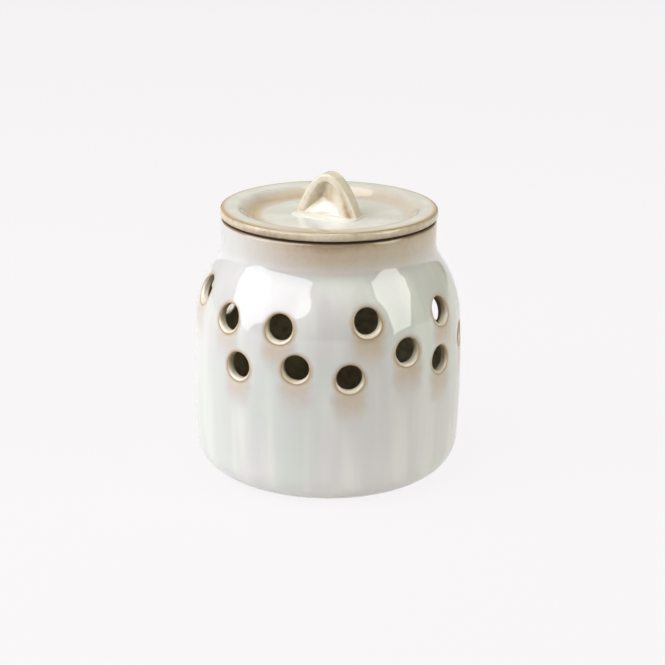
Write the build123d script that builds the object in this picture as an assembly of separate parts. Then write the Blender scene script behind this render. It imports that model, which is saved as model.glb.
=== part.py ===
from build123d import *
import math
import os

# A vented stoneware jar with a drop-in lid, for keeping garlic. Millimetres, +Z up, the front
# towards -Y. The origin is the centre of the foot, on the surface that the jar stands on.

# ---- jar sizes ---------------------------------------------------------------
belly_radius = 60.4  # widest part of the wall
belly_height = 40.5  # height of the widest part
belly_curve_radius = 500.0  # the long, nearly upright curve of the wall, seen from the side
wall = 3.5
floor_thickness = 5.0
corner_radius = 15.0  # rounding from the wall to the foot
foot_cut = 0.4  # how much of that rounding the flat foot cuts off
inner_corner_radius = 9.0
shoulder_height = 68.5  # height at which the wall starts to turn in
shoulder_radius = 45.0
shoulder_run = 3.2  # straight slope between the shoulder and the neck's hollow curve
neck_radius = 47.8
neck_blend_radius = 14.0  # hollow curve from the shoulder to the neck
mouth_height = 114.6  # the lip's flat land, which carries the lid
lip_outer_round = 1.7
lip_inner_round = 1.2
foot_ring_width = 6.0  # bare ring that the jar stands on
foot_recess_depth = 1.6
foot_recess_round = 1.0

# ---- vent sizes --------------------------------------------------------------
vent_radius = 5.6
vent_round = 1.2  # outside rims, softened after punching
upper_row_rise = 12.0  # the upper row, above the start of the shoulder
row_gap = 19.5  # from the lower row to the upper
# Each vent was punched by eye: degrees from the front towards +X, and height off its row.
lower_row = [(-39.6, -1.0), (-12.9, 1.9), (9.3, -1.9), (35.1, 7.1), (55.2, -0.9), (80.1, 2.6)]
lower_row += [(121.0, 1.4), (150.0, -1.6), (178.0, 2.2), (206.0, -2.1), (236.0, 3.0), (266.0, -0.8)]
upper_row = [(-72.4, 4.9), (-47.0, -1.2), (-20.5, -1.1), (17.2, 2.0), (57.8, 0.3), (97.0, -1.2)]
upper_row += [(134.0, 1.2), (164.0, -0.6), (192.0, 0.9), (221.0, -1.7), (251.0, 0.6)]

# ---- lid sizes ---------------------------------------------------------------
lid_overhang = 0.4  # beyond the neck
lid_edge_thickness = 4.4
lid_edge_top_round = 1.6
lid_edge_bottom_round = 1.4
lid_rim_width = 8.0  # flat rim, from the edge to the turn down into the well
well_side_run = 6.0  # how far the well's sloping side reaches inwards
well_depth = 4.3
well_round = 4.5
lid_plate_thickness = 3.5  # under the well
ring_clearance = 1.1  # between the locating ring and the mouth
ring_depth = 8.0  # how far the ring reaches down into the mouth
ring_wall = 4.0
ring_round = 1.2
ring_inner_round = 2.4

# ---- handle sizes ------------------------------------------------------------
handle_turn = -26.5  # degrees about +Z, from +X
handle_length = 29.6
handle_rise = 18.5  # of the arch above its foot
handle_thickness = 8.0
handle_edge_round = 1.3
hollow_length = 19.0
hollow_width = 6.8
hollow_height = 14.0
hollow_turn = 24.0  # degrees; its left end lies deeper, its right end runs out on the face
hollow_shift = 1.7  # centre of a hollow to the right of the handle's middle
hollow_rise = 8.6
handle_web = 1.0  # from one hollow's deepest point to the other's, measured across the slab
foot_side_spread = 3.7  # how far the foot stands out beyond the slab's two faces
foot_end_spread = 0.5
foot_height = 0.6
foot_corner_radius = 1.5
foot_round = 0.4


def wall_outline(inset, corner, bottom, cut=0):
    """The jar's side from its bottom corner up to the neck, moved inwards by inset. The arcs of
    the belly, shoulder and neck keep their centres, so one that bulges gets smaller by inset and
    a hollow one gets larger. cut is how much of the corner's rounding lies below the bottom."""
    belly_centre = (belly_radius - belly_curve_radius, belly_height)

    def on_arc(centre, radius, angle):
        return (centre[0] + radius * math.cos(angle), centre[1] + radius * math.sin(angle))

    def inside_belly(height, curve, radius):
        """Centre of an arc of this radius that touches the belly's curve, and the touching angle."""
        turn = math.asin((height - belly_height) / (curve - radius))
        return on_arc(belly_centre, curve - radius, turn), turn

    corner_centre, corner_turn = inside_belly(bottom + corner - cut, belly_curve_radius - inset, corner)
    start_turn = -math.asin((corner - cut) / corner)
    start = on_arc(corner_centre, corner, start_turn)
    corner_middle = on_arc(corner_centre, corner, (start_turn + corner_turn) / 2)
    corner_top = on_arc(corner_centre, corner, corner_turn)

    # The slope is the one whose straight run just joins the shoulder's arc to the neck's.
    shoulder = shoulder_radius - inset
    shoulder_centre, shoulder_turn = inside_belly(shoulder_height, belly_curve_radius, shoulder_radius)
    arcs_together = shoulder_radius + neck_blend_radius
    arcs_apart = neck_radius + neck_blend_radius - shoulder_centre[0]
    slope = math.acos(arcs_apart / math.hypot(arcs_together, shoulder_run))
    slope -= math.atan2(shoulder_run, arcs_together)
    shoulder_base = on_arc(shoulder_centre, shoulder, shoulder_turn)
    shoulder_middle = on_arc(shoulder_centre, shoulder, (shoulder_turn + slope) / 2)
    shoulder_top = on_arc(shoulder_centre, shoulder, slope)

    blend = neck_blend_radius + inset
    rise = shoulder_run * math.cos(slope)
    blend_base = (shoulder_top[0] - shoulder_run * math.sin(slope), shoulder_top[1] + rise)
    blend_centre = on_arc(blend_base, blend, slope)
    blend_middle = on_arc(blend_centre, blend, math.pi + slope / 2)
    blend_top = on_arc(blend_centre, blend, math.pi)
    edges = [
        ThreePointArc(start, corner_middle, corner_top),
        ThreePointArc(corner_top, (belly_radius - inset, belly_height), shoulder_base),
        ThreePointArc(shoulder_base, shoulder_middle, shoulder_top),
        Line(shoulder_top, blend_base),
        ThreePointArc(blend_base, blend_middle, blend_top),
        Line(blend_top, (neck_radius - inset, mouth_height)),
    ]
    return start, edges


def turned(outline):
    """A closed outline in radius and height, spun about the upright axis."""
    return revolve(Plane.XZ * make_face(outline), Axis.Z)


def soften(solid, radius, height, size):
    """Round the circular edge of a turned solid that has this radius and height."""
    rims = [e for e in solid.edges().filter_by(GeomType.CIRCLE) if abs(e.radius - radius) < 0.001]
    return fillet([e for e in rims if abs(e.arc_center.Z - height) < 0.001], size)


# ---- jar: thrown body, trimmed foot, softened lip ------------------------------
mouth_radius = neck_radius - wall
foot_edge, outer_side = wall_outline(0, corner_radius, 0, foot_cut)
floor_edge, inner_side = wall_outline(wall, inner_corner_radius, floor_thickness)
lip = Line((neck_radius, mouth_height), (mouth_radius, mouth_height))
floor_and_foot = Polyline(floor_edge, (0, floor_thickness), (0, 0), foot_edge)
jar = turned(outer_side + [lip] + inner_side + [floor_and_foot])
jar = soften(jar, neck_radius, mouth_height, lip_outer_round)
jar = soften(jar, mouth_radius, mouth_height, lip_inner_round)

recess_radius = foot_edge[0] - foot_ring_width
recess = Cylinder(recess_radius, 2 * foot_recess_depth)
jar -= soften(recess, recess_radius, foot_recess_depth, foot_recess_round)


# ---- vents: punched level through the wall, towards the jar's axis -------------
def vent_punch(turn, height):
    """The round cutter of one vent, from the jar's axis out past the wall."""
    reach = 1.5 * belly_radius
    punch = Pos(0, -reach / 2, height) * Rot(90, 0, 0) * Cylinder(vent_radius, reach)
    return Rot(0, 0, turn) * punch


def outside_rims(solid):
    """The vents' edges on the outside of the wall."""
    bores = [f for f in solid.faces().filter_by(GeomType.CYLINDER) if abs(f.radius - vent_radius) < 0.001]
    rims = [e for bore in bores for e in bore.edges() if e.geom_type != GeomType.LINE]
    return [e for e in rims if not wall_core.is_inside(e.position_at(0.5))]


upper_row_height = shoulder_height + upper_row_rise
lower_row_height = upper_row_height - row_gap
jar -= [vent_punch(turn, lower_row_height + rise) for turn, rise in lower_row]
jar -= [vent_punch(turn, upper_row_height + rise) for turn, rise in upper_row]

# The inner half of the wall, which tells an inside rim from an outside one.
core_edge, core_side = wall_outline(wall / 2, inner_corner_radius, floor_thickness)
core_top = (neck_radius - wall / 2, mouth_height)
core_rest = Polyline(core_top, (0, mouth_height), (0, floor_thickness), core_edge)
wall_core = turned(core_side + [core_rest])
jar = fillet(outside_rims(jar), vent_round)

# ---- lid: a shallow dish that sits on the lip, with a ring that finds the mouth --
lid_radius = neck_radius + lid_overhang
lid_top = mouth_height + lid_edge_thickness
rim_inner_radius = lid_radius - lid_rim_width
well_radius = rim_inner_radius - well_side_run
well_floor = lid_top - well_depth
underside = well_floor - lid_plate_thickness
ring_radius = mouth_radius - ring_clearance
ring_inner_radius = ring_radius - ring_wall
ring_bottom = mouth_height - ring_depth
lid_outline = Polyline(
    (0, underside),
    (ring_inner_radius, underside),
    (ring_inner_radius, ring_bottom),
    (ring_radius, ring_bottom),
    (ring_radius, mouth_height),
    (lid_radius, mouth_height),
    (lid_radius, lid_top),
    (rim_inner_radius, lid_top),
    (well_radius, well_floor),
    (0, well_floor),
    close=True,
)
lid = turned([lid_outline])
lid = soften(lid, lid_radius, lid_top, lid_edge_top_round)
lid = soften(lid, lid_radius, mouth_height, lid_edge_bottom_round)
lid = soften(lid, rim_inner_radius, lid_top, well_round)
lid = soften(lid, well_radius, well_floor, well_round)
lid = soften(lid, ring_radius, ring_bottom, ring_round)
lid = soften(lid, ring_inner_radius, ring_bottom, ring_round)
lid = soften(lid, ring_inner_radius, underside, ring_inner_round)

# ---- handle: a slab of clay cut to an arch, pressed on both faces, luted on -----
half_length = handle_length / 2
arch_curve = Bezier((-half_length, 0), (0, 2 * handle_rise), (half_length, 0))
arch_front = make_face([arch_curve, Line((half_length, 0), (-half_length, 0))])
arch = extrude(Plane.XZ * arch_front, handle_thickness / 2, both=True)
arch = fillet(arch.edges().filter_by(GeomType.LINE, reverse=True), handle_edge_round)

# A thumb pressed each face, deepest towards the left as one looks at that face.
thumb = scale(Sphere(0.5), by=(hollow_length, hollow_width, hollow_height))
turn = math.radians(hollow_turn)
thumb_reach = math.hypot(hollow_length * math.sin(turn), hollow_width * math.cos(turn)) / 2
hollow_place = Pos(hollow_shift, -handle_web / 2 - thumb_reach, hollow_rise)
front_hollow = hollow_place * Rot(0, 0, -hollow_turn) * thumb
for face_turn in (0, 180):
    arch -= Rot(0, 0, face_turn) * front_hollow

foot_length = handle_length + 2 * foot_end_spread
foot_width = handle_thickness + 2 * foot_side_spread
foot = extrude(RectangleRounded(foot_length, foot_width, foot_corner_radius), foot_height)
foot = fillet(foot.edges().group_by(Axis.Z)[-1], foot_round)
handle = Pos(0, 0, well_floor) * Rot(0, 0, handle_turn) * (foot + Pos(0, 0, foot_height) * arch)

# ---- one file for each piece ----------------------------------------------------
os.makedirs("parts", exist_ok=True)
export_step(jar, "parts/vented_jar.step")
export_step(lid, "parts/lid.step")
export_step(handle, "parts/lid_handle.step")
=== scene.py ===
import math

import bpy
import numpy as np
from mathutils import Matrix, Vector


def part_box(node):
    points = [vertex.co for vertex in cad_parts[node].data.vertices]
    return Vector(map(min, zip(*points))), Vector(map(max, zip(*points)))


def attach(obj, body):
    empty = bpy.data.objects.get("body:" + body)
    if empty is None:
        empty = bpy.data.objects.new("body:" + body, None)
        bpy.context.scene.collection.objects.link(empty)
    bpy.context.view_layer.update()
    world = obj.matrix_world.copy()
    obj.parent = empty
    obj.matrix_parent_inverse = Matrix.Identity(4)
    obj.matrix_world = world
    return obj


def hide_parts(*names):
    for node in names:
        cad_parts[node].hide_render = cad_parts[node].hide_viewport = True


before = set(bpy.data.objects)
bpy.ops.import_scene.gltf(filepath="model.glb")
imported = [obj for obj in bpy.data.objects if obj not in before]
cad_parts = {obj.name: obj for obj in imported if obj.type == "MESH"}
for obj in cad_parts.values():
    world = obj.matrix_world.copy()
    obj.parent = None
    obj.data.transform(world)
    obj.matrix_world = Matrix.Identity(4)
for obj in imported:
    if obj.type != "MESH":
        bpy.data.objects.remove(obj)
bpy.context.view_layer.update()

# ---- Jar body ----------------------------------------------------------------
# The jar is pale stoneware three to four millimetres thick. It is thrown, its foot is trimmed to a
# bare ring, its lip is softened with a wet sponge, and it stands on the ring alone.

jar_low, jar_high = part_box("vented_jar")
belly_radius = (jar_high.x - jar_low.x) / 2
mouth_height = jar_high.z
wall = 0.0035
floor_thickness = 0.005
belly_height = 0.0405
belly_curve_radius = 0.5
corner_radius = 0.015
foot_cut = 0.0004
inner_corner_radius = 0.009
shoulder_height = 0.0685
shoulder_radius = 0.045
shoulder_run = 0.0032
neck_radius = 0.0478
neck_blend_radius = 0.014
lip_outer_round = 0.0017
lip_inner_round = 0.0012
foot_ring_width = 0.006
foot_recess_depth = 0.0016
foot_recess_round = 0.001

jar_columns = 288
column_turn = 2 * math.pi / jar_columns
arc_points = 400
pole_radius = 0.0005


def arc(centre, radius, start, end, count=arc_points):
    """Points centre + radius * (cos a, sin a), for count angles a from start to end."""
    a = np.linspace(start, end, count)
    return np.stack([centre[0] + radius * np.cos(a), centre[1] + radius * np.sin(a)], 1)


def jar_side(inset, corner, bottom, cut=0.0):
    """Radius and height up the jar's side, moved inwards by inset: a corner arc, the long belly
    arc, the shoulder arc, a straight slope, the hollow arc into the neck, and the upright neck.
    Neighbours share a tangent, and belly, shoulder and neck keep their centres for any inset."""
    belly_centre = (belly_radius - belly_curve_radius, belly_height)

    def inside_belly(height, curve, radius):
        """Centre of an arc that touches the belly's curve from inside at this height, and how far
        the touching point has turned: asin((height - belly_height) / (curve - radius))."""
        turn = math.asin((height - belly_height) / (curve - radius))
        reach = curve - radius
        return (belly_centre[0] + reach * math.cos(turn), belly_height + reach * math.sin(turn)), turn

    belly_curve = belly_curve_radius - inset
    corner_centre, corner_turn = inside_belly(bottom + corner - cut, belly_curve, corner)
    shoulder_centre, shoulder_turn = inside_belly(shoulder_height, belly_curve_radius, shoulder_radius)
    arcs_together = shoulder_radius + neck_blend_radius
    arcs_apart = neck_radius + neck_blend_radius - shoulder_centre[0]
    slope = math.acos(arcs_apart / math.hypot(arcs_together, shoulder_run))
    slope -= math.atan2(shoulder_run, arcs_together)
    corner_arc = arc(corner_centre, corner, -math.asin((corner - cut) / corner), corner_turn)
    belly_arc = arc(belly_centre, belly_curve, corner_turn, shoulder_turn, 1500)
    shoulder_arc = arc(shoulder_centre, shoulder_radius - inset, shoulder_turn, slope)
    blend = neck_blend_radius + inset
    blend_z = shoulder_arc[-1, 1] + shoulder_run * math.cos(slope) + blend * math.sin(slope)
    blend_arc = arc((neck_radius + neck_blend_radius, blend_z), blend, math.pi + slope, math.pi)
    top = np.array([[neck_radius - inset, mouth_height]])
    return np.concatenate([corner_arc, belly_arc[1:], shoulder_arc[1:], blend_arc, top])


outer_side = jar_side(0.0, corner_radius, 0.0, foot_cut)
inner_side = jar_side(wall, inner_corner_radius, floor_thickness)


def radius_at(side, height):
    """The side's radius at a height, or at an array of heights."""
    return np.interp(height, side[:, 1], side[:, 0])


# The vents were punched by eye with a tube cutter while the clay was soft, level and towards the
# jar's axis, in two wandering rows. Each is (degrees from the front towards +X, height).
vent_radius = 0.0056
vent_outer_round = 0.0013
vent_inner_round = 0.0008
lower_vents = np.array([
    (-39.6, 0.0600), (-12.9, 0.0629), (9.3, 0.0591), (35.1, 0.0681), (55.2, 0.0601), (80.1, 0.0636),
    (121.0, 0.0624), (150.0, 0.0594), (178.0, 0.0632), (206.0, 0.0589), (236.0, 0.0640), (266.0, 0.0602),
])
upper_vents = np.array([
    (-72.4, 0.0854), (-47.0, 0.0793), (-20.5, 0.0794), (17.2, 0.0825), (57.8, 0.0808), (97.0, 0.0793),
    (134.0, 0.0817), (164.0, 0.0799), (192.0, 0.0814), (221.0, 0.0788), (251.0, 0.0811),
])
block_margin = 0.0083
block_columns = 13
block_rows = 14
bend_from = 0.030
bend_to = 0.1015


def wavy_line(vents, lift, spread=7.5):
    """A height for each column of the jar that wanders with the vents: the mean of their heights
    plus lift, each weighted by exp(-(degrees away / spread) squared)."""
    columns = np.degrees(np.arange(jar_columns) * column_turn)
    away = (columns[:, None] - vents[None, :, 0] + 180) % 360 - 180
    weight = np.exp(-((away / spread) ** 2))
    return (weight * (vents[:, 1] + lift)).sum(1) / weight.sum(1)


def rows_between(low, high, count):
    """count rows of heights from low towards high, each one height for every column."""
    share = np.linspace(0, 1, count, endpoint=False)[:, None]
    return low + (high - low) * share


level = np.ones(jar_columns)
band_low = wavy_line(lower_vents, -block_margin)
between = np.concatenate([lower_vents + (0, block_margin), upper_vents - (0, block_margin)])
band_middle = wavy_line(between, 0.0)
band_high = wavy_line(upper_vents, block_margin)


def side_rows(side, first_height, last_height, counts):
    """Radius and height rows up a side: level below bend_from and above bend_to, and bent to the
    vents' wavy lines between them, where block_rows rows reach from each wavy line to the next."""
    height = np.concatenate([
        rows_between(first_height * level, bend_from * level, counts[0]),
        rows_between(bend_from * level, band_low, counts[1]),
        rows_between(band_low, band_middle, block_rows),
        rows_between(band_middle, band_high, block_rows),
        rows_between(band_high, bend_to * level, counts[2]),
        rows_between(bend_to * level, last_height * level, counts[3]),
        last_height * level[None, :],
    ])
    return np.stack([radius_at(side, height), height], 2)


def flat_disc(radius, height, count=12):
    """A profile of count (radius, height) points from the pole's rim out towards a radius."""
    return np.stack([np.linspace(pole_radius, radius, count, endpoint=False), np.full(count, height)], 1)


def level_rows(points):
    """A profile of (radius, height) points as rows that are the same in every column."""
    return np.repeat(np.asarray(points)[:, None, :], jar_columns, axis=1)


foot_radius = outer_side[0, 0]
recess_radius = foot_radius - foot_ring_width
recess_centre = (recess_radius - foot_recess_round, foot_recess_depth - foot_recess_round)
recess_arc = arc(recess_centre, foot_recess_round, math.pi / 2, 0, 5)
recess_flat = flat_disc(recess_arc[0, 0], foot_recess_depth)
ring_flat = np.stack([np.linspace(recess_radius, foot_radius, 7), np.zeros(7)], 1)
outer_corner = outer_side[np.linspace(0, arc_points - 1, 15).astype(int)][1:]
lip_outer_centre = (neck_radius - lip_outer_round, mouth_height - lip_outer_round)
lip_outer = arc(lip_outer_centre, lip_outer_round, 0, math.pi / 2, 8)
mouth_radius = neck_radius - wall
lip_inner_centre = (mouth_radius + lip_inner_round, mouth_height - lip_inner_round)
lip_inner = arc(lip_inner_centre, lip_inner_round, math.pi / 2, math.pi, 7)
inner_corner = inner_side[np.linspace(0, arc_points - 1, 9).astype(int)]
floor_flat = flat_disc(inner_corner[0, 0], floor_thickness)

outer_counts = (8, 14, 9, 12)
inner_counts = (4, 7, 5, 8)
outer_rows = side_rows(outer_side, outer_corner[-1, 1], lip_outer[0, 1], outer_counts)
inner_rows = side_rows(inner_side, inner_corner[-1, 1], lip_inner[-1, 1], inner_counts)
underside = np.concatenate([recess_flat, recess_arc, ring_flat, outer_corner[:-1]])
jar_rows = np.concatenate([
    level_rows(underside),
    outer_rows[:-1],
    level_rows(lip_outer),
    level_rows(lip_inner),
    inner_rows[-2::-1],
    level_rows(inner_corner[-2::-1]),
    level_rows(floor_flat[::-1]),
])


def turned_points(rows, columns):
    """(x, y, z) of rows of (radius, height): (r sin a, -r cos a, h), with a from the front
    towards +X."""
    a = np.arange(columns) * 2 * math.pi / columns
    return np.stack([rows[:, :, 0] * np.sin(a), -rows[:, :, 0] * np.cos(a), rows[:, :, 1]], 2)


def turned_quads(rows, columns):
    """Quads between the neighbouring rows of turned_points, facing outwards where rows climb."""
    i, j = np.meshgrid(np.arange(rows - 1), np.arange(columns), indexing="ij")
    after = (j + 1) % columns
    row, above = i * columns, (i + 1) * columns
    return np.stack([row + j, row + after, above + after, above + j], 2)


def pole_fans(rows, columns, first_pole):
    """Triangles that close the first and the last row on two pole points."""
    j = np.arange(columns)
    after = (j + 1) % columns
    last = (rows - 1) * columns
    low = np.stack([after, j, np.full(columns, first_pole)], 1)
    high = np.stack([last + j, last + after, np.full(columns, first_pole + 1)], 1)
    return np.concatenate([low, high])


def mesh_object(name, points, quads, triangles, masks, materials, face_material=None):
    """A smooth-shaded object of these points and faces, without unused points, with one float
    attribute for each mask. face_material gives each face's material, quads first."""
    used = np.unique(np.concatenate([quads.ravel(), triangles.ravel()]))
    place = np.full(len(points), -1)
    place[used] = np.arange(len(used))
    mesh = bpy.data.meshes.new(name)
    mesh.from_pydata(points[used].tolist(), [], place[quads].tolist() + place[triangles].tolist())
    for mask, values in masks.items():
        mesh.attributes.new(mask, "FLOAT", "POINT").data.foreach_set("value", values[used].astype(np.float32))
    for surface in materials:
        mesh.materials.append(surface)
    if face_material is not None:
        mesh.polygons.foreach_set("material_index", face_material.astype(np.int32))
    mesh.polygons.foreach_set("use_smooth", np.ones(len(mesh.polygons), bool))
    made = bpy.data.objects.new(name, mesh)
    bpy.context.scene.collection.objects.link(made)
    return made


# Each vent takes a block of cells out of the outer and the inner wall. Loops of points lead from
# the block's edge to the vent, round its softened rim, through the wall and out to the inner block.
vents = np.concatenate([lower_vents, upper_vents])
vent_turn = np.radians(vents[:, :1])
vent_z = vents[:, 1:]
upper = np.arange(len(vents)) >= len(lower_vents)
outer_first = len(underside)
inner_first = outer_first + len(outer_rows) - 1 + len(lip_outer) + len(lip_inner)
inner_last = inner_first + len(inner_rows) - 2
outer_block = outer_first + (sum(outer_counts[:2]) + block_rows * upper)[:, None]
inner_block = inner_last - (sum(inner_counts[:2]) + block_rows * upper)[:, None]
block_start = np.floor(vent_turn / column_turn).astype(int) - block_columns // 2

across = np.arange(block_columns)
along = np.arange(block_rows)
loop_column = np.concatenate([across, np.full(block_rows, block_columns), block_columns - across, 0 * along])
loop_row = np.concatenate([0 * across, along, np.full(block_columns, block_rows), block_rows - along])
loop_count = len(loop_row)
loop_turn = -0.75 * math.pi + 2 * math.pi * np.arange(loop_count)[None, :] / loop_count


def block_edge(first_row, direction):
    """Point numbers round each block, and where they lie: across the vent's axis, and height."""
    row = first_row + direction * loop_row[None, :]
    column = (block_start + loop_column[None, :]) % jar_columns
    radius, height = jar_rows[row, column, 0], jar_rows[row, column, 1]
    return row * jar_columns + column, radius * np.sin(column * column_turn - vent_turn), height


def wall_reach(side, x, z):
    """How far from the axis, along the vent, the wall is at x across and height z."""
    return np.sqrt(radius_at(side, z) ** 2 - x**2)


def circle(radius):
    """Each vent's circle of this radius, across and up."""
    return radius * np.cos(loop_turn) + 0 * vent_z, vent_z + radius * np.sin(loop_turn)


def wall_loops(side, edge_x, edge_z, rounding, shares):
    """Loops on the wall from the block's edge (share 0) to the circle where the rim starts (1)."""
    x1, z1 = circle(vent_radius + rounding)
    flat = [((1 - s) * edge_x + s * x1, (1 - s) * edge_z + s * z1) for s in shares]
    return [(x, wall_reach(side, x, z), z) for x, z in flat]


def rim_loops(side, rounding, inwards, steps):
    """Loops round a rim, from the wall's point W into the bore's point B, along the conic that the
    sharp edge E pulls on: (a W + b E + c B) / (a + b + c), with a = (1 - s)^2,
    b = sqrt(2) s (1 - s) and c = s^2."""
    wx, wz = circle(vent_radius + rounding)
    bx, bz = circle(vent_radius)
    wy, ey = wall_reach(side, wx, wz), wall_reach(side, bx, bz)
    by = ey + inwards * rounding
    loops = []
    for s in np.linspace(0, 1, steps + 1)[1:]:
        a, b, c = (1 - s) ** 2, math.sqrt(2) * s * (1 - s), s**2
        total = a + b + c
        mixed = [(a * w + b * e + c * q) / total for w, e, q in ((wx, bx, bx), (wy, ey, by), (wz, bz, bz))]
        loops.append(tuple(mixed))
    return loops


outer_edge, outer_edge_x, outer_edge_z = block_edge(outer_block, 1)
inner_edge, inner_edge_x, inner_edge_z = block_edge(inner_block, -1)
outside = wall_loops(outer_side, outer_edge_x, outer_edge_z, vent_outer_round, (0.3, 0.6, 0.85, 1))
outside += rim_loops(outer_side, vent_outer_round, -1, 7)
inside = wall_loops(inner_side, inner_edge_x, inner_edge_z, vent_inner_round, (0.4, 0.75, 1))
inside += rim_loops(inner_side, vent_inner_round, 1, 3)
bore_from, bore_to = outside[-1], inside[-1]
bore = [tuple((1 - s) * a + s * b for a, b in zip(bore_from, bore_to)) for s in np.linspace(0, 1, 6)[1:-1]]
loops = np.array([np.stack(loop) for loop in outside + bore + inside[::-1]])

loop_x, loop_y, loop_z = loops[:, 0], loops[:, 1], loops[:, 2]
sin_turn, cos_turn = np.sin(vent_turn), np.cos(vent_turn)
loop_right = loop_x * cos_turn + loop_y * sin_turn
loop_back = loop_x * sin_turn - loop_y * cos_turn
loop_points = np.stack([loop_right, loop_back, loop_z], 3)
wall_points = turned_points(jar_rows, jar_columns).reshape(-1, 3)
poles = np.array([[0, 0, foot_recess_depth], [0, 0, floor_thickness]])
jar_points = np.concatenate([wall_points, poles, loop_points.reshape(-1, 3)])

quads = turned_quads(len(jar_rows), jar_columns)
kept = np.ones(quads.shape[:2], bool)
block_cells = np.meshgrid(np.arange(len(vents)), along, across, indexing="ij")
cell_columns = (block_start[block_cells[0], 0] + block_cells[2]) % jar_columns
kept[outer_block[block_cells[0], 0] + block_cells[1], cell_columns] = False
kept[inner_block[block_cells[0], 0] - 1 - block_cells[1], cell_columns] = False

# Which material covers each face: 0 the glaze, 1 the liner inside, from a few rows below the lip,
# and 2 the bare foot ring.
liner_below = 6
lining = np.zeros(quads.shape[:2], int)
lining[inner_first + liner_below:] = 1
lining[len(recess_flat) + len(recess_arc) - 1:outer_first - len(outer_corner) + 1] = 2

loop_numbers = len(wall_points) + 2 + np.arange(loop_points[..., 0].size).reshape(loop_points.shape[:3])
chain = np.concatenate([outer_edge[None], loop_numbers, inner_edge[None]])
ahead = np.roll(chain, -1, axis=2)
loop_quads = np.stack([chain[:-1], ahead[:-1], ahead[1:], chain[1:]], 3)
loop_lining = np.zeros(loop_quads.shape[:3], int)
loop_lining[len(outside) + len(bore) + 1:] = 1
jar_quads = np.concatenate([quads[kept], loop_quads.reshape(-1, 4)])
jar_fans = pole_fans(len(jar_rows), jar_columns, len(wall_points))
fan_lining = np.repeat([0, 1], jar_columns)
jar_face_material = np.concatenate([lining[kept], loop_lining.ravel(), fan_lining])

# No thrown pot is quite round, thick glaze has run down the lower wall in faint ribs, and the punch
# has left a soft dip round each vent. Each is less than a third of a millimetre, and goes inwards.
out_of_round = 0.00009
rib_depth = 0.00006
dip_depth = 0.00024
dip_reach = 0.0034
point_turn = np.arctan2(jar_points[:, 0], -jar_points[:, 1])
point_radius = np.hypot(jar_points[:, 0], jar_points[:, 1])
point_z = jar_points[:, 2]
rib_waves = ((9, 0.4, 4), (16, 2.0, 3), (27, 4.1, 4), (38, 1.0, 8))
rib_wave = sum(np.sin(k * point_turn + p) / n for k, p, n in rib_waves)
rib_reach = np.interp(point_z, [0.001, 0.010, 0.040, 0.062, 0.080], [0, 1, 1, 0.35, 0])
away = (point_turn[:, None] - vent_turn[None, :, 0] + math.pi) % (2 * math.pi) - math.pi
vent_across = point_radius[:, None] * np.sin(np.clip(away, -1.5, 1.5))
vent_below = vents[None, :, 1] - point_z[:, None]
from_vent = np.maximum(np.hypot(vent_across, vent_below), 0.001)
punch_dip = dip_depth * np.exp(-((np.maximum(from_vent - vent_radius, 0) / dip_reach) ** 2)).max(1)
ribs = rib_depth * rib_reach * (1 + rib_wave)
inward = out_of_round * (1 - np.cos(2 * point_turn + 0.7)) + ribs + punch_dip
jar_points[:, :2] *= (1 - inward / np.maximum(point_radius, 0.03))[:, None]

# How thin the glaze is, from 0 for a full coat to 1 for hardly any, with painted light and shade in it.
# It draws back from the lip, the foot and the rims of the vents. Each rim is painted cream at its bottom
# as a painted highlight on the lit lower bore, and tan towards its top, a glaze break deepened as painted
# shade. A straight thin stripe of differing strength runs down from each vent. The neck's tan is painted
# darker in front as painted shade and lighter on the left as a painted highlight, and the lip's flat is
# wiped bare and painted dark as the shade in the gap under the lid.
run_half_width = 0.0069
run_softness = 0.0012
low_share = np.clip(0.45 + 0.9 * vent_below / from_vent, 0, 1)
# Each rim is painted cream at its bottom as a painted highlight on the lit lower bore, and tan at its top, a
# glaze break deepened as painted shade.
rim_top_break_and_shade = np.interp(from_vent, [0.0056, 0.0062, 0.0070, 0.0079, 0.0092], [0.84, 0.66, 0.33, 0.09, 0])
rim_low_highlight = np.interp(from_vent, [0.0058, 0.0064, 0.0070, 0.0077, 0.0084], [0.99, 0.95, 0.72, 0.5, 0])
rim_thin = low_share * rim_low_highlight + (1 - low_share) * rim_top_break_and_shade
run_strength = np.ones(len(vents))
run_strength[:5] = (0.62, 0.84, 0.90, 0.94, 0.90)
run_strength[len(lower_vents):][:5] = (0.6, 0.6, 0.84, 1.08, 0.9)
run_waver = 0.0004 * np.sin(point_z[:, None] * 700 + np.arange(len(vents)) * 2.1)
run_depth = np.interp(
    vent_below, [-0.003, 0.003, 0.008, 0.011, 0.015, 0.019, 0.027], [0, 0.30, 0.52, 0.44, 0.27, 0.13, 0],
)
run_edge = (np.abs(vent_across + run_waver) - run_half_width) / run_softness
run_thin = run_strength * run_depth / (1 + np.exp(run_edge))
below_lip = mouth_height - point_z
neck_thin_and_light = np.interp(
    below_lip,
    [0, 0.0006, 0.0013, 0.0021, 0.0035, 0.0049, 0.0081, 0.0104, 0.0126, 0.0161, 0.0196],
    [0.77, 0.71, 0.62, 0.56, 0.53, 0.46, 0.42, 0.32, 0.20, 0.04, 0],
)
# The neck's tan is painted darker in front as painted shade, and lighter on the left as a painted highlight
# from the left light.
neck_front_shade = 0.25 * np.exp(-((point_turn / 0.5) ** 2))
neck_left_highlight = 0.80 * np.exp(-(((point_turn + 1.15) / 0.6) ** 2))
neck_thin_and_light *= 1 + (neck_front_shade - neck_left_highlight) * (below_lip > 0.0010)
foot_thin = np.interp(point_z, [0, 0.0010, 0.0030, 0.0060, 0.0120], [0.95, 0.36, 0.18, 0.10, 0])
jar_thin_and_light = np.maximum(np.maximum(rim_thin, run_thin).max(1), foot_thin)
jar_thin_and_light = 1 - (1 - jar_thin_and_light) * (1 - neck_thin_and_light)
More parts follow.
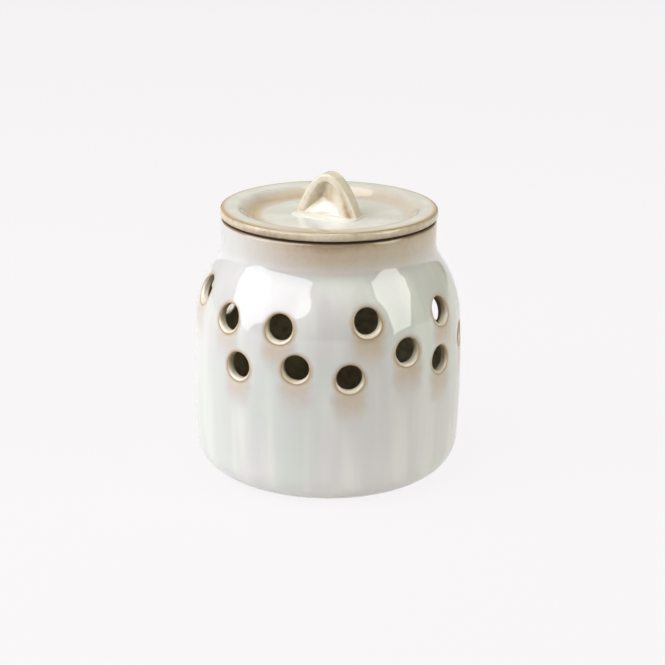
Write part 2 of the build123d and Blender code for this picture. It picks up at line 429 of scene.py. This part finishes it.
# The lip's flat is wiped bare and painted dark as the shade in the gap under the lid.
jar_wiped_and_shade = np.interp(below_lip, [0.0004, 0.0008], [1, 0])


def colour(red, green, blue):
    """A scene-linear colour from screen values of 0 to 255: c/12.92 below 0.04045, and above it
    ((c + 0.055) / 1.055) ** 2.4."""
    c = np.array([red, green, blue]) / 255
    return (*np.where(c < 0.04045, c / 12.92, ((c + 0.055) / 1.055) ** 2.4).tolist(), 1.0)


def node(tree, kind, inputs=(), **settings):
    """A new node of a tree, whose inputs, by name or number, each take a value or another socket."""
    made = tree.nodes.new("ShaderNode" + kind)
    for name, value in settings.items():
        setattr(made, name, value)
    for key, value in dict(inputs).items():
        if isinstance(value, bpy.types.NodeSocket):
            tree.links.new(value, made.inputs[key])
        else:
            made.inputs[key].default_value = value
    return made


def blended(tree, share, first, second):
    """The colour that goes from first to second as share goes from 0 to 1."""
    return node(tree, "Mix", {0: share, 6: first, 7: second}, data_type="RGBA").outputs[2]


def maths(tree, operation, *values):
    """The result of one Math node."""
    return node(tree, "Math", dict(enumerate(values)), operation=operation).outputs[0]


def mapped(tree, value, start, end, low=0.0, high=1.0):
    """value eased from low to high while it goes from start to end."""
    inputs = {0: value, 1: start, 2: end, 3: low, 4: high}
    return node(tree, "MapRange", inputs, interpolation_type="SMOOTHSTEP").outputs[0]


def ramp(tree, share, stops):
    """A colour ramp through (share, colour) stops."""
    made = node(tree, "ValToRGB", {0: share})
    for number, (place, shade) in enumerate(stops):
        stop = made.color_ramp.elements.new(place) if number > 1 else made.color_ramp.elements[number]
        stop.position = place
        stop.color = shade
    return made.outputs[0]


def group(name, takes, gives):
    """An empty node group with (name, kind) inputs and outputs, and its two end nodes."""
    made = bpy.data.node_groups.new(name, "ShaderNodeTree")
    for direction, sockets in (("INPUT", takes), ("OUTPUT", gives)):
        for socket, kind in sockets:
            made.interface.new_socket(socket, in_out=direction, socket_type="NodeSocket" + kind)
    return made, made.nodes.new("NodeGroupInput"), made.nodes.new("NodeGroupOutput")


# The glaze: a pearly white that is greenish where it is thick, goes through lavender and pink as it
# thins, breaks tan on edges, and leaves the clay cream where there is hardly any. Its thinness mask
# also carries painted light and shade. It lies white where it has pooled and where a highlight is
# painted, and it is painted near-black brown as the shade in the gap where the lid meets the lip,
# where it is also wiped off.
glaze, glaze_in, glaze_out = group(
    "reactive_glaze", [("Thin_and_painted_light", "Float"), ("Pooled_and_highlight", "Float"), ("Wiped_and_shade", "Float")],
    [("Color", "Color"), ("Roughness", "Float"), ("Normal", "Vector")],
)
place = node(glaze, "TexCoord").outputs["Object"]
drawn_out = node(glaze, "Mapping", {0: place, 3: (1, 1, 0.12)}).outputs[0]
cloud = node(glaze, "TexNoise", {"Vector": place, "Scale": 38, "Detail": 3}).outputs[0]
drift = node(glaze, "TexNoise", {"Vector": place, "Scale": 21, "Detail": 2, "Distortion": 0.6}).outputs[0]
streak = node(glaze, "TexNoise", {"Vector": drawn_out, "Scale": 75, "Detail": 2}).outputs[0]
grain = node(glaze, "TexNoise", {"Vector": place, "Scale": 420, "Detail": 3}).outputs[0]
ruffle = maths(glaze, "ADD", maths(glaze, "MULTIPLY", cloud, 0.30), maths(glaze, "MULTIPLY", grain, 0.16))
ruffle = maths(glaze, "SUBTRACT", ruffle, 0.23)
swing = mapped(glaze, glaze_in.outputs[0], 0.02, 0.3)
thin_and_painted_light = maths(glaze, "MULTIPLY_ADD", ruffle, swing, glaze_in.outputs[0])
thick_coat = blended(glaze, mapped(glaze, drift, 0.38, 0.62), colour(215, 220, 210), colour(221, 216, 215))
thick_coat = blended(glaze, mapped(glaze, streak, 0.36, 0.64, 0.5, 0), thick_coat, colour(208, 209, 204))
thick_coat = blended(glaze, mapped(glaze, streak, 0.44, 0.68, 0, 0.7), thick_coat, colour(229, 230, 222))
thin_coat = ramp(glaze, thin_and_painted_light, (
    (0.0, colour(213, 212, 209)), (0.22, colour(211, 204, 196)), (0.42, colour(206, 191, 171)),
    (0.62, colour(192, 171, 142)), (0.76, colour(162, 138, 106)), (0.88, colour(206, 191, 163)),
    (1.0, colour(232, 224, 206)),
))
coat = blended(glaze, mapped(glaze, thin_and_painted_light, 0.0, 0.22), thick_coat, thin_coat)
# White where glaze has pooled, and where a highlight is painted on the handle's ledges and pad.
coat = blended(glaze, glaze_in.outputs[1], coat, colour(230, 227, 218))
# Near-black brown is painted over the wiped seat as the shade in the gap between lid and lip.
coat = blended(glaze, glaze_in.outputs[2], coat, colour(72, 52, 26))
peel = node(glaze, "TexNoise", {"Vector": place, "Scale": 90, "Detail": 1}).outputs[0]
peel_normal = node(glaze, "Bump", {"Strength": 1, "Distance": 0.00003, "Height": peel}).outputs[0]
glaze.links.new(coat, glaze_out.inputs[0])
glaze.links.new(mapped(glaze, glaze_in.outputs[2], 0, 1, 0.035, 0.7), glaze_out.inputs[1])
glaze.links.new(peel_normal, glaze_out.inputs[2])


def material(name, wire):
    """A material with a Principled shader, which wire(tree, shader) sets up."""
    made = bpy.data.materials.new(name)
    made.use_nodes = True
    shader = made.node_tree.nodes["Principled BSDF"]
    wire(made.node_tree, shader)
    return made


def glazed(tree, shader):
    """Glossy glaze whose colour, roughness and faint orange peel follow the piece's masks."""
    coat = node(tree, "Group", node_tree=glaze)
    for number, mask in enumerate(("thin_and_painted_light", "pooled_and_highlight", "wiped_and_shade")):
        tree.links.new(node(tree, "Attribute", attribute_name=mask).outputs["Fac"], coat.inputs[number])
    tree.links.new(coat.outputs[0], shader.inputs["Base Color"])
    tree.links.new(coat.outputs[1], shader.inputs["Roughness"])
    tree.links.new(coat.outputs[2], shader.inputs["Normal"])
    shader.inputs["IOR"].default_value = 1.7


def brown_liner(tree, shader):
    """The satin glaze inside the jar, mottled in two browns."""
    place = node(tree, "TexCoord").outputs["Object"]
    mottle = node(tree, "TexNoise", {"Vector": place, "Scale": 300, "Detail": 4}).outputs[0]
    shade = blended(tree, mapped(tree, mottle, 0.4, 0.65), colour(198, 187, 160), colour(172, 161, 136))
    tree.links.new(shade, shader.inputs["Base Color"])
    shader.inputs["Roughness"].default_value = 0.32


def bare_clay(tree, shader):
    """Matt, gritty stoneware where the foot ring is trimmed bare."""
    place = node(tree, "TexCoord").outputs["Object"]
    grog = node(tree, "TexNoise", {"Vector": place, "Scale": 900, "Detail": 3}).outputs[0]
    shade = blended(tree, mapped(tree, grog, 0.35, 0.65), colour(196, 170, 136), colour(168, 138, 104))
    rough = node(tree, "Bump", {"Strength": 1, "Distance": 0.0001, "Height": grog}).outputs[0]
    tree.links.new(shade, shader.inputs["Base Color"])
    tree.links.new(rough, shader.inputs["Normal"])
    shader.inputs["Roughness"].default_value = 0.85


pot_glaze = material("pot_glaze", glazed)
liner = material("brown_liner", brown_liner)
clay = material("bare_clay", bare_clay)
jar = mesh_object(
    "glazed_jar", jar_points, jar_quads, jar_fans, {"thin_and_painted_light": jar_thin_and_light, "wiped_and_shade": jar_wiped_and_shade},
    [pot_glaze, liner, clay], jar_face_material,
)
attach(jar, "jar")
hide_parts("vented_jar")

# ---- Lid ---------------------------------------------------------------------
# A thrown stoneware dish, glazed all over but for its seat, which is wiped bare and painted dark as
# the shade in the gap: a flat rim that is cut away a little below, so that it stands clear of the lip,
# a wide shallow well with a thrower's spiral in its floor, and beneath it a ring that finds the mouth.

lid_low, lid_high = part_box("lid")
lid_radius = (lid_high.x - lid_low.x) / 2
lid_top = lid_high.z
ring_bottom = lid_low.z
rim_width = 0.008
well_side_run = 0.006
well_depth = 0.0043
well_round = 0.0045
plate_thickness = 0.0035
ring_clearance = 0.0011
ring_wall = 0.004
ring_round = 0.0012
ring_inner_round = 0.0024
seat_inset = 0.0012
seat_round = 0.0002
rim_gap = 0.0005
gap_run = 0.0008
gap_round = 0.0003
edge_low_round = 0.0012
edge_top_round = 0.0016
rim_inner_radius = lid_radius - rim_width
well_radius = rim_inner_radius - well_side_run
well_floor = lid_top - well_depth
lid_underside = well_floor - plate_thickness
ring_radius = mouth_radius - ring_clearance
ring_inner_radius = ring_radius - ring_wall
seat_radius = neck_radius - seat_inset
lid_columns = 240
lid_step = 0.0011


def rounded(corners, step):
    """An outline through (radius, height, rounding) corners: arcs tangent to both sides of each
    corner, of radius rounding, and points no more than a step apart between them."""
    sides = np.array(corners)
    points = [sides[:1, :2]]
    for before, corner, after in zip(sides, sides[1:], sides[2:]):
        back, on = before[:2] - corner[:2], after[:2] - corner[:2]
        back, on = back / np.hypot(*back), on / np.hypot(*on)
        half = math.acos(float(back @ on)) / 2
        middle = (back + on) / np.hypot(*(back + on))
        centre = corner[:2] + middle * corner[2] / math.sin(half)
        start = corner[:2] + back * corner[2] / math.tan(half) - centre
        sweep = (math.pi - 2 * half) * np.sign(start[1] * back[0] - start[0] * back[1])
        first = math.atan2(start[1], start[0])
        points.append(arc(centre, corner[2], first, first + sweep, 2 + int(abs(sweep) * 5)))
    points = np.concatenate([*points, sides[-1:, :2]])
    length = np.hypot(*np.diff(points, axis=0).T)
    pieces = np.maximum(np.ceil(length / step), 1).astype(int)
    runs = [a + (b - a) * np.arange(n)[:, None] / n for a, b, n in zip(points, points[1:], pieces)]
    return np.concatenate([*runs, points[-1:]])


lid_side = rounded([
    (pole_radius, lid_underside, 0),
    (ring_inner_radius, lid_underside, ring_inner_round),
    (ring_inner_radius, ring_bottom, ring_round),
    (ring_radius, ring_bottom, ring_round),
    (ring_radius, mouth_height, seat_round),
    (seat_radius, mouth_height, seat_round),
    (seat_radius + gap_run, mouth_height + rim_gap, gap_round),
    (lid_radius, mouth_height + rim_gap, edge_low_round),
    (lid_radius, lid_top, edge_top_round),
    (rim_inner_radius, lid_top, well_round),
    (well_radius, well_floor, well_round),
    (pole_radius, well_floor, 0),
], lid_step)
lid_rows = np.repeat(lid_side[:, None, :], lid_columns, axis=1)
lid_turn = np.arange(lid_columns) * 2 * math.pi / lid_columns

# The spiral that the thrower's finger left in the well: height * cos(2 pi r / pitch - turn). The
# lid is a little out of round as well, by that share of its radius.
spiral_pitch = 0.0038
spiral_height = 0.00002
lid_out_of_round = 0.0012
in_well = np.interp(lid_side[:, 0], [0.018, 0.022, 0.031, 0.0345], [0, 1, 1, 0])
in_well *= np.abs(lid_side[:, 1] - well_floor) < 0.0012
spiral = np.cos(2 * math.pi * lid_rows[:, :, 0] / spiral_pitch - lid_turn)
lid_rows[:, :, 1] += spiral_height * in_well[:, None] * spiral
lid_rows[:, :, 0] *= 1 - lid_out_of_round * (1 - np.cos(2 * lid_turn + 1.9))
lid_points = turned_points(lid_rows, lid_columns).reshape(-1, 3)
lid_points = np.concatenate([lid_points, [[0, 0, lid_underside], [0, 0, well_floor]]])

# The glaze is thin on the side and the edges, in a band where the well turns, and on the rim in
# front. The side is painted darker towards its bottom as painted shade near the gap, and the band is
# painted stronger on the left as painted shade on the wall turned from the left light. The seat is
# wiped bare and painted dark as the shade in the gap between lid and lip.
lid_r = np.hypot(lid_points[:, 0], lid_points[:, 1])
below_top = lid_top - lid_points[:, 2]
above_lip = lid_points[:, 2] - mouth_height
upward = above_lip > -0.002
on_edge = lid_r > lid_radius - 0.0022
# Down the side the colour is painted darker towards the bottom, a painted shade near the gap.
edge_thin_and_shade = np.interp(
    below_top,
    [0, 0.0002, 0.0006, 0.0012, 0.0021, 0.0029, 0.0034, 0.0044],
    [0.62, 0.74, 0.88, 0.91, 0.88, 0.85, 0.82, 0.80],
)
band_r = np.hypot(lid_points[:, 0] - 0.0015, lid_points[:, 1])
band_thin_and_shade = np.interp(
    band_r, [0.022, 0.0305, 0.0325, 0.0350, 0.0380, 0.0400, 0.0425], [0.03, 0.06, 0.34, 0.48, 0.34, 0.12, 0],
)
# The band is painted stronger on the left as painted shade, where the well's wall turns from the left light.
band_thin_and_shade *= 1 - 0.25 * lid_points[:, 0] / np.maximum(lid_r, 0.001)
rim_thin = np.interp(lid_r, [0.0425, 0.0450, 0.0465, 0.0478, 0.0484], [0, 0.10, 0.34, 0.54, 0.62])
lid_turn_at = np.arctan2(lid_points[:, 0], -lid_points[:, 1])
front_share = np.exp(-(((lid_turn_at + 0.1) / 0.6) ** 2))
front_thin = front_share * np.interp(lid_r, [0.0395, 0.0415, 0.0437, 0.0475], [0, 0.36, 0.50, 0.60])
top_thin_and_shade = np.maximum(np.maximum(band_thin_and_shade, rim_thin), front_thin)
lid_thin_and_shade = np.where(on_edge, edge_thin_and_shade, top_thin_and_shade) * upward + 0.1 * ~upward
# The seat is wiped bare and painted dark as the shade in the gap between lid and lip.
lid_wiped_and_shade = np.interp(above_lip, [-0.0010, -0.0002, 0.0006, 0.0009], [0, 1, 1, 0])
lid_wiped_and_shade *= lid_r > ring_radius - 0.0005
lid = mesh_object(
    "glazed_lid", lid_points, turned_quads(len(lid_rows), lid_columns).reshape(-1, 4),
    pole_fans(len(lid_rows), lid_columns, len(lid_points) - 2),
    {"thin_and_painted_light": lid_thin_and_shade, "wiped_and_shade": lid_wiped_and_shade}, [pot_glaze],
)
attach(lid, "lid")
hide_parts("lid")

# ---- Handle --------------------------------------------------------------------
# A slab of clay cut to an arch and pressed hollow on both faces by a thumb. It stands on a flat pad
# of clay that was smoothed onto the lid. The pad and the hollows' ledges are white, partly pooled
# glaze and partly a painted highlight.

arch_reach = 0.0148
arch_rise = 0.0185
arch_low_half = 0.0039
arch_high_half = 0.0041
arch_edge_round = 0.0013
arch_fillet = 0.0005
pad_reach = 0.0157
pad_half = 0.0100
pad_height = 0.0006
pad_crown = 0.0003
pad_sink = 0.0001
handle_base = well_floor + pad_height
handle_turn = math.radians(-26.5)

# The slab is built in slices that climb from a small hollow fillet at its base to its top.
fillet_turn = np.linspace(0, math.pi / 2, 6)
fillet_z = arch_fillet * (1 - np.cos(fillet_turn))
q = np.linspace(math.sqrt(1 - fillet_z[-1] / arch_rise), 0.012, 96)[1:]
slice_z = np.concatenate([fillet_z, arch_rise * (1 - q**2)])[:, None]
spread = np.concatenate([arch_fillet * (1 - np.sin(fillet_turn)), 0 * q])[:, None]
slice_reach = arch_reach * np.sqrt(1 - slice_z / arch_rise)
half = arch_low_half + (arch_high_half - arch_low_half) * slice_z / arch_rise


def edge_distance(x, z):
    """How far a point of the slab's face is from the arch's outline."""
    steep = 2 * arch_rise * x / arch_reach**2
    return (arch_rise * (1 - (x / arch_reach) ** 2) - z) / np.sqrt(1 + steep**2)


def arch_face(share):
    """Half thickness of the slab where share goes from -1 to 1 across each slice: full in the
    middle, and falling near the outline, d away, by the circle r - sqrt(r^2 - (r - d)^2)."""
    x = slice_reach * np.sin(share * math.pi / 2)
    short = np.clip(arch_edge_round - edge_distance(x, slice_z), 0, arch_edge_round)
    return x, half - arch_edge_round + np.sqrt(arch_edge_round**2 - short**2)


def soft_least(depths, softness):
    """The least of some depths with its corners rounded: -s log(sum(exp(-depth / s)))."""
    return -softness * np.log(sum(np.exp(-depth / softness) for depth in depths))


def thumb_hollow(x, z):
    """Depth that a thumb has pressed in, and how much of it is the ledge below. The depth is the
    least of a wall along the arch, a long rise to the right, the ledge that climbs from a low sill,
    and a bottom, and is never less than nothing: s log(1 + exp(depth / s))."""
    margin = 0.0031 + 0.0007 * np.clip(-x / 0.012, 0, 1)
    steep = np.interp(z, [0.0105, 0.0135], [0.66, 1.5])
    wall_depth = steep * (edge_distance(x, z) - margin)
    rise_depth = np.interp(
        x, [-0.0150, -0.0022, 0.0030, 0.0060, 0.0088, 0.0150], [0.0090, 0.0033, 0.0016, 0.0006, 0, -0.0016],
    )
    sill = 0.0003 + 0.0015 * np.exp(-(((x + 0.0008) / 0.0040) ** 2))
    ledge_depth = 0.62 * (z - sill)
    pressed = soft_least([wall_depth, rise_depth, 0.0035 + 0 * x], 0.00014)
    depth = soft_least([pressed, ledge_depth], 0.00016)
    on_ledge = 1 / (1 + np.exp(np.clip((ledge_depth - pressed) / 0.0002, -30, 30)))
    return 0.00022 * np.log1p(np.exp(np.clip(depth / 0.00022, -40, 40))), on_ledge


share = np.linspace(-1, 1, 121)
front_x, face = arch_face(share)
hollow, ledge = thumb_hollow(front_x, slice_z)
back_hollow, back_ledge = thumb_hollow(-front_x, slice_z)
end_share = np.linspace(-1, 1, 11)[1:-1]
end_y = end_share * face[:, -1:]
ring_x = np.concatenate([front_x, slice_reach + 0 * end_y, front_x[:, ::-1], -slice_reach + 0 * end_y], 1)
ring_y = np.concatenate([hollow - face, end_y, (face - back_hollow)[:, ::-1], -end_y], 1)
tangent_x = np.roll(ring_x, -1, 1) - np.roll(ring_x, 1, 1)
tangent_y = np.roll(ring_y, -1, 1) - np.roll(ring_y, 1, 1)
tangent = np.hypot(tangent_x, tangent_y)
arch_x = ring_x + spread * tangent_y / tangent
arch_y = ring_y - spread * tangent_x / tangent

# The pad's outline is a squared oval, |x / a|^5 + |y / b|^5 = 1. It thins out to nothing from the
# slab's side to its edge, where t goes from 0 to 1, as 1 - t^3.
across_arch, along_arch = ring_x[0] / arch_reach, ring_y[0] / arch_low_half
squared = (np.abs(across_arch) ** 5 + np.abs(along_arch) ** 5) ** 0.2
pad_x, pad_y = pad_reach * across_arch / squared, pad_half * along_arch / squared
pad_out = np.linspace(1, 0, 14)[:-1, None]
pad_z = -pad_height * pad_out**3 - pad_sink * (pad_out == 1)
handle_x = np.concatenate([arch_x[0] + pad_out * (pad_x - arch_x[0]), arch_x])
handle_y = np.concatenate([arch_y[0] + pad_out * (pad_y - arch_y[0]), arch_y])
handle_count = handle_x.shape[1]
handle_z = np.repeat(np.concatenate([pad_z, slice_z]), handle_count, 1)
crown_reach = np.concatenate([1 - pad_out**3, np.exp(-slice_z / 0.0015)])
handle_z += pad_crown * crown_reach * np.clip(1 - (handle_x / pad_reach) ** 2, 0, 1)
handle_points = np.stack([
    math.cos(handle_turn) * handle_x - math.sin(handle_turn) * handle_y,
    math.sin(handle_turn) * handle_x + math.cos(handle_turn) * handle_y,
    handle_base + handle_z,
], 2).reshape(-1, 3)
handle_poles = [[0, 0, well_floor - pad_sink], [0, 0, handle_base + arch_rise]]



def both_faces(front, back):
    """Values round each slice: the front face's, the back's in reverse, and 0 on the two ends."""
    end = 0 * end_y
    return np.concatenate([front, end, back[:, ::-1], end], 1)


# Cream all over, with a painted highlight on the ridge of the right leg, partly a glaze break. Tan as
# painted shade where a thumb has pressed and low on the right of each face, darkest at the base. White
# on the ledges and the pad, partly pooled glaze and partly a painted highlight.
# The hollows are painted tan with their depth, as painted shade.
depth_share = np.clip(both_faces(hollow, back_hollow) / 0.0025, 0, 1)
ledge_share = both_faces(ledge, back_ledge)
along_face = both_faces(front_x, -front_x)
# The ledges are painted white, partly pooled glaze and partly a painted highlight.
pool_and_highlight_top = np.interp(
    along_face,
    [-0.0090, -0.0058, -0.0017, 0.0020, 0.0045, 0.0062, 0.0068],
    [0.0016, 0.0028, 0.0053, 0.0060, 0.0049, 0.0027, 0],
)
pool_and_highlight_share = np.clip(0.5 + (pool_and_highlight_top - slice_z) / 0.0014, 0, 1) * np.clip(depth_share / 0.08, 0, 1)
pool_and_highlight_share *= np.interp(along_face, [-0.0090, -0.0060, -0.0025], [0.1, 0.5, 1])
right_share = both_faces(front_x / slice_reach, -front_x / slice_reach)
# A tan band low on the right of each face is painted shade, darkest where the leg meets the pad.
band_share = np.exp(-(((right_share - 0.78) / 0.13) ** 2)) * np.clip(1.4 - slice_z / 0.0115, 0, 1)
arch_thin_and_light = 0.96 - 0.11 * depth_share * (1 - 0.7 * ledge_share) - 0.20 * band_share
# The right leg's ridge is painted cream as a painted highlight, partly a glaze break on the edge.
ridge_break_and_highlight = np.exp(-(((edge_distance(along_face, slice_z) - 0.0002) / 0.0004) ** 2)) * (along_face > 0.0080)
ridge_break_and_highlight *= np.interp(slice_z, [0.0100, 0.0125], [1, 0])
arch_thin_and_light += (1 - arch_thin_and_light) * ridge_break_and_highlight
pad_thin = 0.1 + 0 * handle_x[:len(pad_z)]
# The pad is painted white, partly pooled glaze and partly a painted highlight.
pad_pool_and_highlight = np.interp(pad_out, [0, 0.15, 0.75, 1], [0.7, 1, 1, 0.5]) * np.ones(handle_count)
pad_pool_and_highlight *= np.interp(handle_x[:len(pad_z)], [0.0115, 0.0150], [1, 0])
handle_thin_and_light = np.append(np.concatenate([pad_thin, arch_thin_and_light]).ravel(), [0.96, 0.96])
handle_pool_and_highlight = np.append(np.concatenate([pad_pool_and_highlight, pool_and_highlight_share]).ravel(), [0, 0])
handle = mesh_object(
    "pinched_handle", np.concatenate([handle_points, handle_poles]),
    turned_quads(len(handle_x), handle_count).reshape(-1, 4),
    pole_fans(len(handle_x), handle_count, len(handle_points)),
    {"thin_and_painted_light": handle_thin_and_light, "pooled_and_highlight": handle_pool_and_highlight}, [pot_glaze],
)
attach(handle, "lid")
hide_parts("lid_handle")

# ---- Floor and light ---------------------------------------------------------
# A seamless pale floor, two soft lights on the left and the right, a weaker one overhead, a low glow
# from behind and a dim warm fill. Dark card in front keeps the middle of the wall from washing out.

floor_reach = 60
pale_tone = (0.890, 0.873, 0.881)
white_card = (0.8, 0.8, 0.8, 1)
dark_card = (0.2, 0.2, 0.2, 1)
shadow_shade = (0.05, 0.05, 0.05, 1)
panel_aim = (0, 0, 0.09)


def stage_material(name):
    """A surface that the camera, reflections and clear glass see as an even pale tone with a weak
    shadow. It lights the jar as white card that is covered dark in front, where -y / distance nears 1."""
    made = bpy.data.materials.new(name)
    made.use_nodes = True
    tree = made.node_tree
    tree.nodes.remove(tree.nodes["Principled BSDF"])
    spot = node(tree, "TexCoord").outputs["Object"]
    distance = node(tree, "VectorMath", {0: spot}, operation="LENGTH").outputs["Value"]
    depth = node(tree, "SeparateXYZ", {0: spot}).outputs["Y"]
    forward = maths(tree, "DIVIDE", depth, maths(tree, "MULTIPLY", distance, -1.0))
    covered = maths(tree, "MULTIPLY", mapped(tree, forward, 0.54, 0.74), mapped(tree, distance, 0.09, 0.20))
    card = node(tree, "BsdfDiffuse", {0: blended(tree, covered, white_card, dark_card)}).outputs[0]
    weak = node(tree, "BsdfDiffuse", {0: shadow_shade}).outputs[0]
    glow = node(tree, "Emission", {0: (*pale_tone, 1), 1: 1.0}).outputs[0]
    even = node(tree, "AddShader", {0: weak, 1: glow}).outputs[0]
    ray = node(tree, "LightPath").outputs
    mirrored = maths(tree, "MAXIMUM", ray["Is Glossy Ray"], ray["Is Transmission Ray"])
    seen = maths(tree, "MAXIMUM", ray["Is Camera Ray"], mirrored)
    mixed = node(tree, "MixShader", {0: seen, 1: card, 2: even}).outputs[0]
    tree.links.new(mixed, tree.nodes["Material Output"].inputs[0])
    return made


floor_mesh = bpy.data.meshes.new("floor")
floor_corners = [(x * floor_reach, y * floor_reach, 0) for x, y in ((-1, -1), (1, -1), (1, 1), (-1, 1))]
floor_mesh.from_pydata(floor_corners, [], [(0, 1, 2, 3)])
floor_mesh.materials.append(stage_material("pale_floor"))
floor = bpy.data.objects.new("floor", floor_mesh)
bpy.context.scene.collection.objects.link(floor)


def panel(name, azimuth, elevation, distance, corners, strength, shade):
    """A flat light in that direction from the jar, facing it. Its corners are (to the right, up),
    in shares of the distance, and it shines on the jar's side only."""
    a, e = math.radians(azimuth), math.radians(elevation)
    back = np.array([math.sin(a) * math.cos(e), -math.cos(a) * math.cos(e), math.sin(e)])
    right = np.array([math.cos(a), math.sin(a), 0])
    up = np.cross(back, right)
    spots = [panel_aim + distance * (back + s * right + t * up) for s, t in corners]
    mesh = bpy.data.meshes.new(name)
    mesh.from_pydata([spot.tolist() for spot in spots[::-1]], [], [tuple(range(len(spots)))])
    made = bpy.data.materials.new(name)
    made.use_nodes = True
    tree = made.node_tree
    tree.nodes.remove(tree.nodes["Principled BSDF"])
    front = maths(tree, "SUBTRACT", 1.0, node(tree, "NewGeometry").outputs["Backfacing"])
    glow = node(tree, "Emission", {0: (*shade, 1), 1: maths(tree, "MULTIPLY", front, strength)}).outputs[0]
    tree.links.new(glow, tree.nodes["Material Output"].inputs[0])
    mesh.materials.append(made)
    light = bpy.data.objects.new(name, mesh)
    bpy.context.scene.collection.objects.link(light)


left_corners = [
    (-0.60, 0.56), (-0.64, 0.00), (-0.55, -0.11), (-0.55, -0.40), (-0.42, -0.50), (-0.29, -0.58),
    (-0.12, -0.66), (0.05, -0.45), (0.28, -0.38), (0.45, -0.30), (0.54, -0.21), (0.68, -0.14),
    (0.81, 0.02), (0.86, 0.16), (0.84, 0.28), (0.76, 0.38), (0.64, 0.46), (0.56, 0.54),
]
panel("left_softbox", -65, 30, 1.0, left_corners, 3.22, (0.98, 0.99, 1.05))
overhead_corners = [(-0.56, -0.4), (0.24, -0.4), (0.24, 0.4), (-0.56, 0.4)]
panel("overhead_softbox", 0, 88, 1.1, overhead_corners, 2.36, (0.99, 1.01, 0.95))
right_corners = [
    (-0.04, -0.33), (0.23, -0.27), (0.30, -0.01), (0.36, 0.12), (0.46, 0.24), (0.52, 0.40), (0.50, 0.55),
    (-0.10, 0.55), (-0.20, 0.35), (-0.16, 0.13), (-0.15, -0.06),
]
panel("right_window", 60, 15, 1.1, right_corners, 3.54, (1.00, 1.01, 0.95))
backdrop_corners = [(-0.6, -0.22), (0.6, -0.22), (0.6, 0.3), (-0.6, 0.3)]
panel("backdrop", 180, 20, 1.6, backdrop_corners, 0.56, (1.10, 0.99, 0.73))

world = bpy.data.worlds.new("studio")
world.use_nodes = True
world.node_tree.nodes["Background"].inputs[0].default_value = (1, 0.82, 0.4, 1)
world.node_tree.nodes["Background"].inputs[1].default_value = 0.10
bpy.context.scene.world = world

camera_place = (0.002088, -0.735904, 0.304664)
camera_down = math.radians(18.393)
camera_roll = math.radians(0.616)
camera_data = bpy.data.cameras.new("camera")
camera_data.sensor_width = 36
camera_data.lens = 93.06
camera = bpy.data.objects.new("camera", camera_data)
tilt = Matrix.Rotation(math.pi / 2 - camera_down, 4, "X") @ Matrix.Rotation(camera_roll, 4, "Z")
camera.matrix_world = Matrix.Translation(camera_place) @ tilt
bpy.context.scene.collection.objects.link(camera)
bpy.context.scene.camera = camera
bpy.context.scene.view_settings.view_transform = "Standard"
